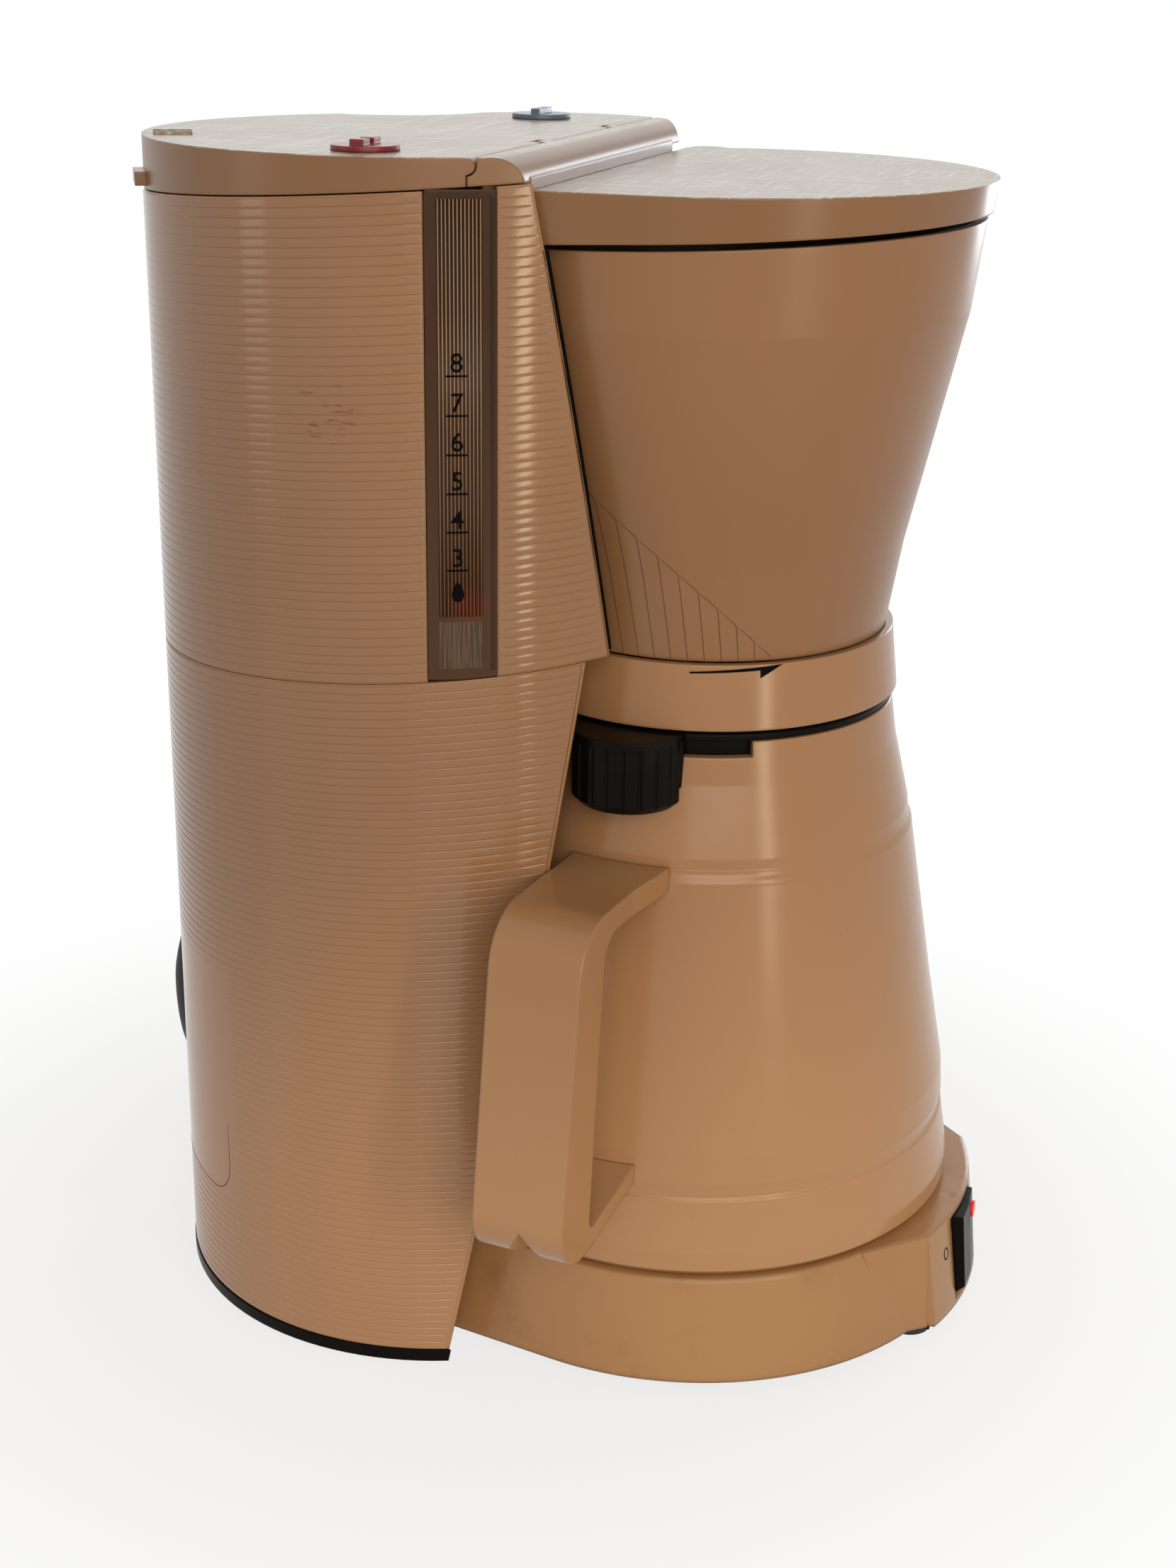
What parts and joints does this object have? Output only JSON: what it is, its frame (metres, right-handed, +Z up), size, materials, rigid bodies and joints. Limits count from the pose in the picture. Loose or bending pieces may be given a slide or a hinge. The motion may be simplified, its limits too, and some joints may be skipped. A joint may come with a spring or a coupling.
{
  "type": "drip coffee maker with thermal carafe",
  "caption": "Drip coffee maker: fluted water tower with level gauge and hinged lid, swing-out filter cone, and a lidded thermal jug with a strap handle on a round base.",
  "frame": {"origin": "the brewing axis, at the counter under the feet", "axes": "+Z up; -Y is the front, where the switch is and the jug comes out; +X is the side of the basket hinge"},
  "size_m": [0.2778, 0.263, 0.3359],
  "materials": {
    "cream_plastic": "satin moulded plastic",
    "dark_plastic": "satin black plastic",
    "smoke_window": "smoky clear plastic",
    "red_plastic": "satin",
    "blue_plastic": "satin",
    "lamp": "clear red",
    "steel": "drawn wire and pins",
    "tube_alloy": "extruded",
    "rubber": "matt",
    "silicone": "matt",
    "liner_glass": "silvered glass",
    "brass": "plain",
    "grey_plastic": "plain"
  },
  "bodies": {
    "machine": {"base_plate": "dark_plastic", "rubber_feet": "rubber", "base_screws": "steel", "base_housing": "cream_plastic", "column_housing": "cream_plastic", "water_tank": "cream_plastic", "gauge_window": "smoke_window", "bridge": "cream_plastic", "filter_cover": "cream_plastic", "lid_hinge_pins": "steel", "filter_carrier": "cream_plastic", "basket_hinge_pins": "steel", "drip_spring": "steel", "heater": "tube_alloy", "heater_bracket": "steel", "thermostat": "grey_plastic", "thermal_fuse": "brass", "riser_pipe": "silicone", "inlet_hose": "silicone", "check_valve": "grey_plastic", "shower_head": "grey_plastic", "float_rod": "steel", "switch_body": "dark_plastic", "rocker_pin": "steel", "cord_gland": "rubber", "cord_run": "rubber", "cord_coil": "rubber", "coil_tie": "dark_plastic", "plug_body": "rubber", "plug_pins": "brass"},
    "tank_lid": {"tank_lid": "cream_plastic"},
    "selector": {"selector_dial": "red_plastic"},
    "memory": {"memory_dial": "blue_plastic"},
    "basket": {"filter_basket": "cream_plastic"},
    "drip_stop": {"drip_plunger": "grey_plastic", "drip_seal": "silicone"},
    "rocker": {"rocker": "dark_plastic", "pilot_lens": "lamp"},
    "carafe": {"carafe_shell": "cream_plastic", "carafe_base": "cream_plastic", "carafe_collar": "cream_plastic", "vacuum_liner": "liner_glass", "liner_pad": "rubber", "liner_gasket": "silicone", "carafe_handle": "cream_plastic"},
    "carafe_lid": {"carafe_lid": "dark_plastic", "lid_gasket": "silicone"},
    "float": {"water_float": "red_plastic"}
  },
  "joints": [
    {"name": "lid_hinge", "type": "hinge", "parent": "machine", "child": "tank_lid", "pos_m": [0, 0.0404, 0.331], "axis": [1, 0, 0], "range_deg": [0, 95]},
    {"name": "selector_turn", "type": "hinge", "parent": "tank_lid", "child": "selector", "pos_m": [-0.075, 0.07, 0.333], "axis": [0, 0, 1], "range_deg": [0, 90]},
    {"name": "memory_turn", "type": "hinge", "parent": "tank_lid", "child": "memory", "pos_m": [0.052, 0.068, 0.333], "axis": [0, 0, 1], "range_deg": [0, 90]},
    {"name": "basket_swing", "type": "hinge", "parent": "machine", "child": "basket", "pos_m": [0.07, 0.022, 0.25], "axis": [0, 0, 1], "range_deg": [0, 80]},
    {"name": "drip_stop_lift", "type": "slide", "parent": "machine", "child": "drip_stop", "axis": [0, 0, 1], "range_m": [0, 0.0024], "stiffness_N_per_m": 300, "springref_m": -0.002, "deforming": ["drip_spring"]},
    {"name": "rocker_tilt", "type": "hinge", "parent": "machine", "child": "rocker", "pos_m": [-0.0053, -0.081, 0.0194], "axis": [0, 0, 1], "range_deg": [-16, 0]},
    {"name": "carafe_out", "type": "slide", "parent": "machine", "child": "carafe", "axis": [0, -1, 0], "range_m": [0, 0.25]},
    {"name": "carafe_lid_turn", "type": "hinge", "parent": "carafe", "child": "carafe_lid", "pos_m": [0, 0, 0.184], "axis": [0, 0, 1], "range_deg": [0, 20]},
    {"name": "float_rise", "type": "slide", "parent": "machine", "child": "float", "axis": [0, 0, 1], "range_m": [0, 0.095]}
  ]
}
